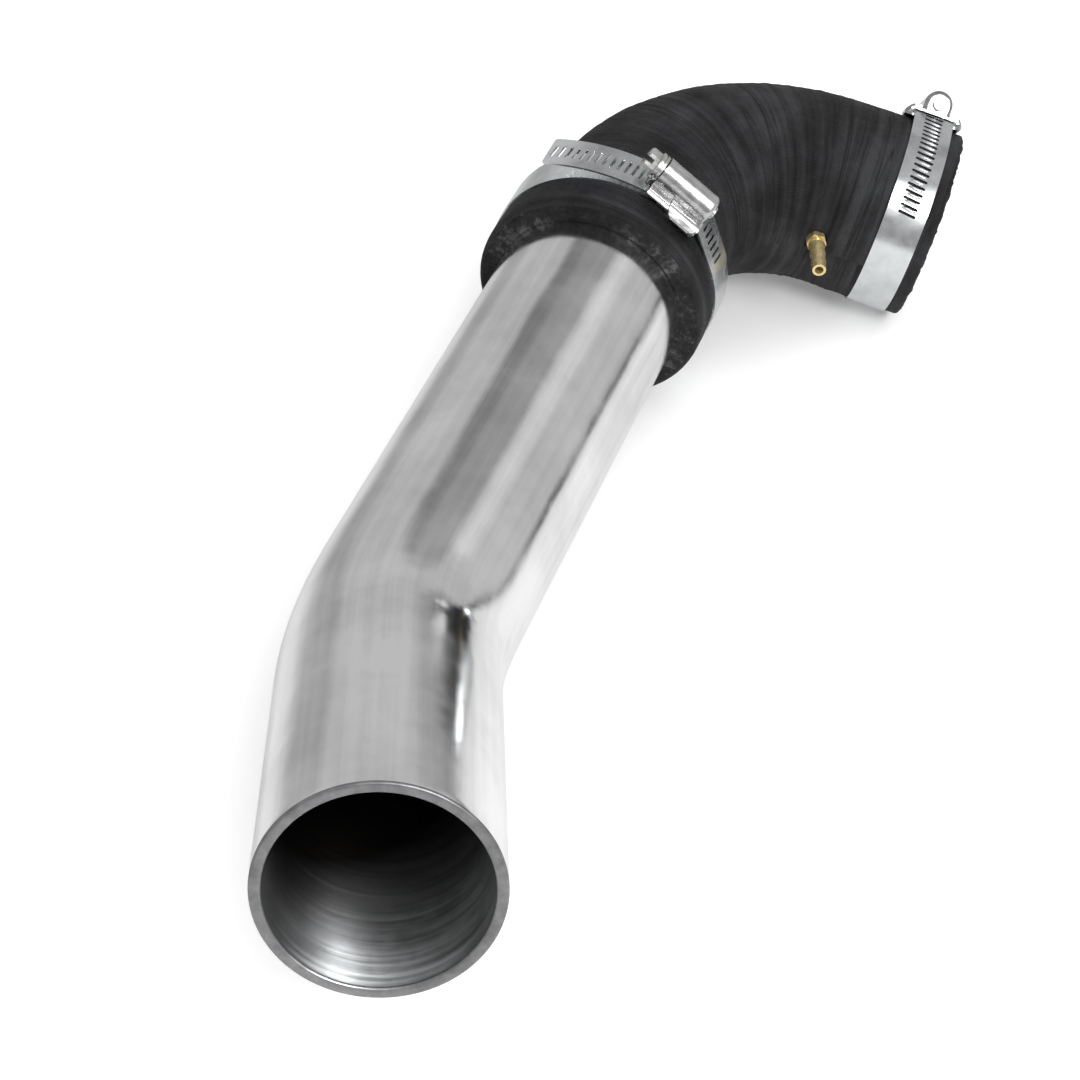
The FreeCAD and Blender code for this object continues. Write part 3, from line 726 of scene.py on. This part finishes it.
def port_cutter():
    # The space of the port's hexagon, shank and inner washer, as one turned solid
    station = bend(elbow_start, elbow_bend_radius, port_station_angle)
    facing = roll(station, port_roll)
    seat_reach = duct_bore_radius + elbow_wall_at_end - port_seat_depth
    surface = facing @ Matrix.Translation((seat_reach, 0, 0))
    seat = surface @ Matrix.Rotation(math.radians(90 - port_tilt), 4, "Y")
    wall = elbow_wall_at_end - 2 * port_seat_depth
    beyond = 12 * MM
    sides = 48
    profile = [
        (port_inner_pocket_radius, -wall - beyond), (port_inner_pocket_radius, -wall),
        (port_hole_radius, -wall), (port_hole_radius, 0),
        (port_pocket_radius, 0), (port_pocket_radius, beyond),
    ]
    bm = bmesh.new()
    rings = [
        [
            bm.verts.new(seat @ ring_point(radius, 2 * math.pi * side / sides, height))
            for side in range(sides)
        ]
        for radius, height in profile
    ]
    for ring, following in zip(rings, rings[1:]):
        bridge(bm, ring, following)
    bm.faces.new(rings[0])
    bm.faces.new(rings[-1])
    return mesh_object("port_space", bm)


def cut_away(piece, cutter):
    modifier = piece.modifiers.new("cut", "BOOLEAN")
    modifier.operation = "DIFFERENCE"
    modifier.solver = "EXACT"
    modifier.object = cutter
    graph = bpy.context.evaluated_depsgraph_get()
    mesh = bpy.data.meshes.new_from_object(piece.evaluated_get(graph))
    piece.modifiers.clear()
    piece.data = mesh
    bpy.data.objects.remove(cutter)


def make_hose():
    piece = swept("elbow_hose_surface", hose_outline(), 180, hose_place, hose_radius)
    roughen_ends(piece)
    paint(piece, rubber, rubber, rubber_cut)
    cut_away(piece, port_cutter())
    return piece


pipe = make_pipe()
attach(pipe, "duct")
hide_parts("intake_pipe")

hose = make_hose()
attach(hose, "duct")
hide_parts("elbow_hose")


# Worm threads, which turn with the screws
def make_worm(name, joint):
    axis = Vector(joint["axis"])
    place = frame_from(Vector(joint["pos_m"]), axis.orthogonal(), axis)
    start = -housing_length / 2 + 1.8 * MM
    finish = housing_length / 2 - 0.6 * MM
    steps_per_turn = 40
    steps = int((finish - start) / worm_pitch * steps_per_turn)
    fading_steps = 10
    root = worm_core_radius - 0.15 * MM
    half_crest = 0.3 * MM
    half_root = 0.85 * MM
    bm = bmesh.new()
    rings = []
    for step in range(steps + 1):
        angle = 2 * math.pi * step / steps_per_turn
        height = start + (finish - start) * step / steps
        fade = smooth(min(step, steps - step) / fading_steps)
        crest = root + (worm_thread_radius - root) * fade
        flank = half_root * (0.3 + 0.7 * fade)
        section = ((root, -flank), (crest, -half_crest), (crest, half_crest), (root, flank))
        rings.append([
            bm.verts.new(place @ ring_point(radius, angle, height + offset))
            for radius, offset in section
        ])
    for first, second in zip(rings, rings[1:]):
        bridge(bm, first, second)[1].smooth = True
    bm.faces.new(rings[0])
    bm.faces.new(rings[-1])
    worm = mesh_object(name, bm)
    paint(worm, screw_steel)
    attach(worm, joint["child"])


for joint in frame["joints"]:
    make_worm(joint["child"] + "_thread", joint)


# The pressed ribs between the slots of the outlet clamp's band
def band_spot(distance, circle):
    # A place on the band, measured from where its straight meets the hose, with the way
    # out of the band and the way along it towards the housing, in the clamp's own frame
    angle = -math.radians(outlet_straight_meets_hose) - max(distance, 0) / circle
    outward = ring_point(1, angle)
    ahead = Vector((-math.sin(angle), math.cos(angle), 0))
    return outward * circle + ahead * max(-distance, 0), outward, ahead


def make_band_ribs():
    station = roll(advance(hose_outlet, -outlet_clamp_inset - band_width / 2), outlet_clamp_roll)
    clamp = station @ Matrix.Rotation(math.pi, 4, "X")
    circle = duct_bore_radius + outlet_wall + band_fit_clearance + band_thickness
    half_length = 0.42 * slot_length
    half_width = 0.24 * slot_pitch
    sunk = 0.02 * MM
    slant = math.atan(slot_pitch / (2 * math.pi * worm_thread_radius))
    levels, sides = 5, 20
    bm = bmesh.new()
    distance = outlet_last_slot - slot_pitch / 2
    while distance > -outlet_straight_length + 2 * MM:
        spot, outward, ahead = band_spot(distance, circle)
        length_way = Vector((0, 0, math.cos(slant))) + ahead * math.sin(slant)
        rings = []
        for level in range(levels):
            tilt = math.pi / 2 * level / levels
            raised = outward * (rib_height * math.sin(tilt) - sunk)
            ring = []
            for side in range(sides):
                turn = 2 * math.pi * side / sides
                point = spot + length_way * (half_length * math.cos(tilt) * math.cos(turn))
                point = point + ahead * (half_width * math.cos(tilt) * math.sin(turn)) + raised
                ring.append(bm.verts.new(clamp @ point))
            rings.append(ring)
        top = bm.verts.new(clamp @ (spot + outward * (rib_height - sunk)))
        for first, second in zip(rings, rings[1:]):
            for face in bridge(bm, first, second):
                face.smooth = True
        for side in range(sides):
            after = (side + 1) % sides
            bm.faces.new((rings[-1][side], rings[-1][after], top)).smooth = True
        distance -= slot_pitch
    ribs = mesh_object("outlet_band_ribs", bm)
    paint(ribs, outlet_band_steel)
    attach(ribs, "duct")


make_band_ribs()


# Materials of the pieces that keep their CAD shape
cad_materials = {
    "port_fitting": brass,
    "port_washer": brass,
    "port_nut": brass,
    "pipe_clamp_band": pipe_band_steel,
    "outlet_clamp_band": outlet_band_steel,
    "pipe_clamp_saddle": housing_steel,
    "outlet_clamp_saddle": outlet_housing_steel,
    "pipe_clamp_housing": housing_steel,
    "outlet_clamp_housing": outlet_housing_steel,
    "pipe_clamp_screw": screw_steel,
    "outlet_clamp_screw": screw_steel,
}
for node, material in cad_materials.items():
    frame["nodes"][node].data.materials.clear()
    paint(frame["nodes"][node], material)


# Floor: white to the camera apart from the soft shadow
def make_floor():
    floor_grey = 0.84
    bm = bmesh.new()
    bmesh.ops.create_circle(bm, cap_ends=True, radius=1.3, segments=96)
    floor = mesh_object("floor", bm)
    floor.location.z = -0.5 * MM
    n = MaterialNodes("white_floor")
    ray = n.add("ShaderNodeLightPath").outputs["Is Camera Ray"]
    # Off the pipe's left side the floor that the metal mirrors gets darker
    leftward = Vector((-0.93, 0.37, 0))
    pipe_middle = Vector((-0.06, -0.05, 0)).dot(leftward)
    beside = n.reach(n.place(), leftward)
    mirrored = n.spread(beside, pipe_middle + 0.06, pipe_middle + 0.17, floor_grey, 0.36)
    level = n.math("MAXIMUM", mirrored, n.math("MULTIPLY", ray, floor_grey))
    nearness = n.add("ShaderNodeAmbientOcclusion", samples=8)
    nearness.inputs["Distance"].default_value = 50 * MM
    open_sky = n.spread(nearness.outputs["AO"], 0.35, 0.93, 0.14, 0.55)
    glow = n.math("ADD", n.math("MULTIPLY", mirrored, 0.06), n.math("MULTIPLY", ray, open_sky))
    paint(floor, n.set(colour=level, roughness=0.9, glow=glow, glow_colour=(1, 1, 1, 1)))


# Surroundings, by compass bearing from +Y towards +X and by height above the floor
def direction(bearing, height):
    bearing = math.radians(bearing)
    height = math.radians(height)
    level = math.cos(height)
    return Vector((math.sin(bearing) * level, math.cos(bearing) * level, math.sin(height)))


def sky_patch(n, towards, bearing, height, width, strength, core=0.0):
    # Full strength over the core's share of the width, then fading to the edge
    blob = n.add("ShaderNodeMapRange", interpolation_type="SMOOTHSTEP")
    n.link(n.reach(towards, direction(bearing, height)), blob.inputs["Value"])
    blob.inputs["From Min"].default_value = math.cos(math.radians(width))
    blob.inputs["From Max"].default_value = math.cos(math.radians(width * core))
    blob.inputs["To Max"].default_value = strength
    return blob.outputs["Result"]


def make_surroundings():
    # The sky's grey by height, as the sine of the angle above the floor
    lowest = -0.2
    greys = [
        (lowest, 0.45), (-0.02, 0.47), (0.03, 0.50), (0.09, 0.52), (0.5, 0.52), (0.8, 0.48),
        (1.0, 0.50),
    ]
    # Bearing, height, width, strength and core of its brighter and darker patches
    patches = [
        (8, 47, 21, -0.16, 0.75),
        (-8, 41, 10, -0.12, 0.4),
        (46, 41, 11, 0.20, 0.0),
        (20, 6, 12, -0.16, 0.0),
        (127, 52, 15, 1.7, 0.0),
        (173, 54, 19, 2.8, 0.1),
        (-175, 14, 18, -0.18, 0.0),
    ]
    darkest = 0.03
    world = bpy.data.worlds.new("studio")
    bpy.context.scene.world = world
    world.use_nodes = True
    n = Nodes(world.node_tree)
    n.tree.nodes.clear()
    towards = n.add("ShaderNodeTexCoord").outputs["Generated"]
    up = n.split(towards)["Z"]
    stops = [((height - lowest) / (1 - lowest), grey(level)) for height, level in greys]
    total = n.ramp(n.spread(up, lowest, 1.0, 0.0, 1.0), stops)
    for values in patches:
        total = n.math("ADD", total, sky_patch(n, towards, *values))
    # A darker strip low on the horizon, to one side
    horizon = n.spread(n.math("ABSOLUTE", up), 0.01, 0.07, 1.0, 0.0)
    strip = n.math("MULTIPLY", horizon, sky_patch(n, towards, 52, 0, 45, -0.42))
    total = n.math("MAXIMUM", n.math("ADD", total, strip), darkest)
    lights = n.add("ShaderNodeBackground")
    n.link(total, lights.inputs["Color"])
    white = n.add("ShaderNodeBackground")
    white.inputs["Color"].default_value = (1, 1, 1, 1)
    seen = n.add("ShaderNodeMixShader")
    n.link(n.add("ShaderNodeLightPath").outputs["Is Camera Ray"], seen.inputs["Fac"])
    n.link(lights.outputs["Background"], seen.inputs[1])
    n.link(white.outputs["Background"], seen.inputs[2])
    output = n.add("ShaderNodeOutputWorld")
    n.link(seen.outputs["Shader"], output.inputs["Surface"])


def place_lamp(light, aim, bearing, height, distance):
    lamp = bpy.data.objects.new(light.name, light)
    bpy.context.scene.collection.objects.link(lamp)
    lamp.location = aim + direction(bearing, height) * distance
    lamp.rotation_euler = (aim - lamp.location).to_track_quat("-Z", "Y").to_euler()
    return lamp


def area_light(name, bearing, height, distance, size, power, seen_in_gloss=True):
    light = bpy.data.lights.new(name, "AREA")
    light.shape = "DISK"
    light.size = size
    light.energy = power
    lamp = place_lamp(light, Vector((0, 0.02, 0.04)), bearing, height, distance)
    lamp.visible_glossy = seen_in_gloss


def spot_light(name, aim, bearing, height, distance, spread, power):
    light = bpy.data.lights.new(name, "SPOT")
    light.spot_size = math.radians(spread)
    light.spot_blend = 1.0
    light.shadow_soft_size = 15 * MM
    light.energy = power
    place_lamp(light, aim, bearing, height, distance)


def bore_floor_spot(depth, sideways):
    # A spot low in the bore, by its depth from the rim and its distance to one side
    down = Vector((0, 0, -1))
    down = (down - inlet_axis * down.dot(inlet_axis)).normalized()
    drop = math.sqrt(pipe_bore_radius * pipe_bore_radius - sideways * sideways)
    return inlet_point + inlet_axis * depth + Vector((sideways, 0, 0)) + down * drop


def make_camera():
    data = bpy.data.cameras.new("camera")
    data.lens = camera_lens
    data.sensor_width = camera_sensor
    data.sensor_fit = "HORIZONTAL"
    data.clip_start = 10 * MM
    camera = bpy.data.objects.new("camera", data)
    bpy.context.scene.collection.objects.link(camera)
    right = camera_right.normalized()
    back = right.cross(-camera_down).normalized()
    upward = back.cross(right)
    turn = Matrix((right, upward, back)).transposed()
    camera.matrix_world = Matrix.Translation(camera_place) @ turn.to_4x4()
    bpy.context.scene.camera = camera


make_floor()
make_surroundings()
area_light("key", 153, 47, 1.2, 0.4, 6.0)
area_light("fill", -70, 48, 1.4, 0.8, 4.0, seen_in_gloss=False)
spot_light("bore_lamp", bore_floor_spot(8 * MM, -10 * MM), 140, 56, 0.5, 2.4, 48.0)
make_camera()

bpy.context.scene.view_settings.view_transform = "Standard"
